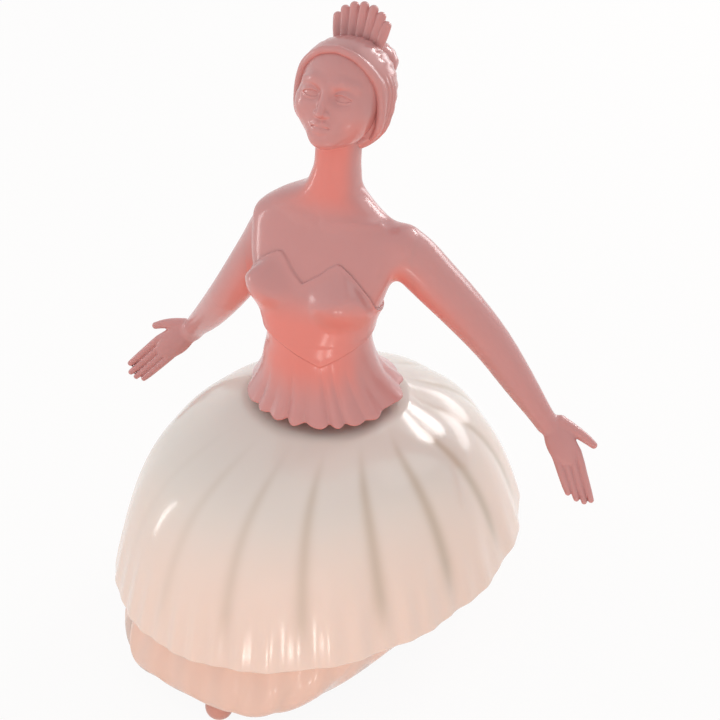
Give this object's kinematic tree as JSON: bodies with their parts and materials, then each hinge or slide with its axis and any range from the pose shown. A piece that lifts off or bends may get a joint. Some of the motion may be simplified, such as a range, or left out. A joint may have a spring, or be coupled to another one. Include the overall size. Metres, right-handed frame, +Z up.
{
  "type": "ballerina jewellery box",
  "caption": "Skirt-shaped plastic jewellery box with a hinged ribbed lid, tray-lined tub on ball feet and a half-length dancer that turns on a wind-up musical movement.",
  "frame": {"origin": "on the floor under the figure's turning axis", "axes": "+Z up along the turning axis; the skirt's front faces -Y; +X is the figure's left"},
  "size_m": [0.1989, 0.1813, 0.2426],
  "materials": {
    "ivory_plastic": "glossy, slightly pearly moulded plastic",
    "pink_plastic": "glossy, slightly translucent moulded plastic",
    "flock": "flocked",
    "white_plastic": "satin moulded",
    "zinc": "die cast, tumbled",
    "brass": "machined",
    "steel": "bright"
  },
  "bodies": {
    "base": {"base_tub": "ivory_plastic", "base_feet": "pink_plastic", "hinge_pin": "steel", "front_tray": "flock", "rear_tray": "flock", "bedplate": "zinc", "movement_screws": "steel", "cylinder_brackets": "zinc", "governor_cage": "zinc", "tune_comb": "steel", "comb_screws": "steel", "winding_clutch": "brass", "movement_cover": "white_plastic", "cover_screws": "steel"},
    "lid": {"skirt_lid": "ivory_plastic", "spindle_bush": "brass"},
    "figure": {"peplum": "pink_plastic", "bodice_front": "pink_plastic", "bodice_back": "pink_plastic", "left_arm": "pink_plastic", "right_arm": "pink_plastic", "head": "pink_plastic", "hair_comb": "pink_plastic", "spindle": "steel", "spindle_blade": "white_plastic", "spindle_clip": "steel"},
    "drive": {"drive_gear": "brass", "drive_fork": "white_plastic"},
    "barrel": {"spring_barrel": "brass", "barrel_cap": "brass", "mainspring": "steel"},
    "winding": {"winding_arbor": "steel", "winding_key": "steel"},
    "cylinder": {"music_cylinder": "brass", "cylinder_arbor": "steel"},
    "wheel": {"governor_wheel": "brass"},
    "fly": {"governor_fly": "steel"},
    "stop": {"stop_slider": "white_plastic"}
  },
  "joints": [
    {"name": "lid_hinge", "type": "hinge", "parent": "base", "child": "lid", "pos_m": [0, 0.0845, 0.0285], "axis": [-1, 0, 0], "range_deg": [0, 65]},
    {"name": "figure_turn", "type": "hinge", "parent": "lid", "child": "figure", "pos_m": [0, 0, 0.1], "axis": [0, 0, 1], "continuous": true},
    {"name": "drive_turn", "type": "hinge", "parent": "base", "child": "drive", "pos_m": [0, 0, 0.0172], "axis": [0, 0, 1], "continuous": true},
    {"name": "barrel_turn", "type": "hinge", "parent": "base", "child": "barrel", "pos_m": [0, 0.0168, 0.0162], "axis": [0, 0, 1], "continuous": true},
    {"name": "cylinder_turn", "type": "hinge", "parent": "base", "child": "cylinder", "pos_m": [0.02, 0.0168, 0.02219], "axis": [1, 0, 0], "continuous": true},
    {"name": "wheel_turn", "type": "hinge", "parent": "base", "child": "wheel", "pos_m": [-0.016, 0.0168, 0.0162], "axis": [0, 0, 1], "continuous": true},
    {"name": "fly_turn", "type": "hinge", "parent": "base", "child": "fly", "pos_m": [-0.016, 0.0072, 0.0162], "axis": [0, 0, 1], "continuous": true},
    {"name": "winding_turn", "type": "hinge", "parent": "base", "child": "winding", "pos_m": [0, 0.0168, 0.0162], "axis": [0, 0, 1], "continuous": true},
    {"name": "stop_slide", "type": "slide", "parent": "base", "child": "stop", "axis": [1, 0, 0], "range_m": [0, 0.003]}
  ],
  "couplings": [
    {"joint": "drive_turn", "follows": "figure_turn", "ratio": 1},
    {"joint": "barrel_turn", "follows": "figure_turn", "ratio": -0.5},
    {"joint": "cylinder_turn", "follows": "figure_turn", "ratio": -1.5},
    {"joint": "wheel_turn", "follows": "figure_turn", "ratio": 1.1667},
    {"joint": "fly_turn", "follows": "figure_turn", "ratio": -3.5}
  ]
}
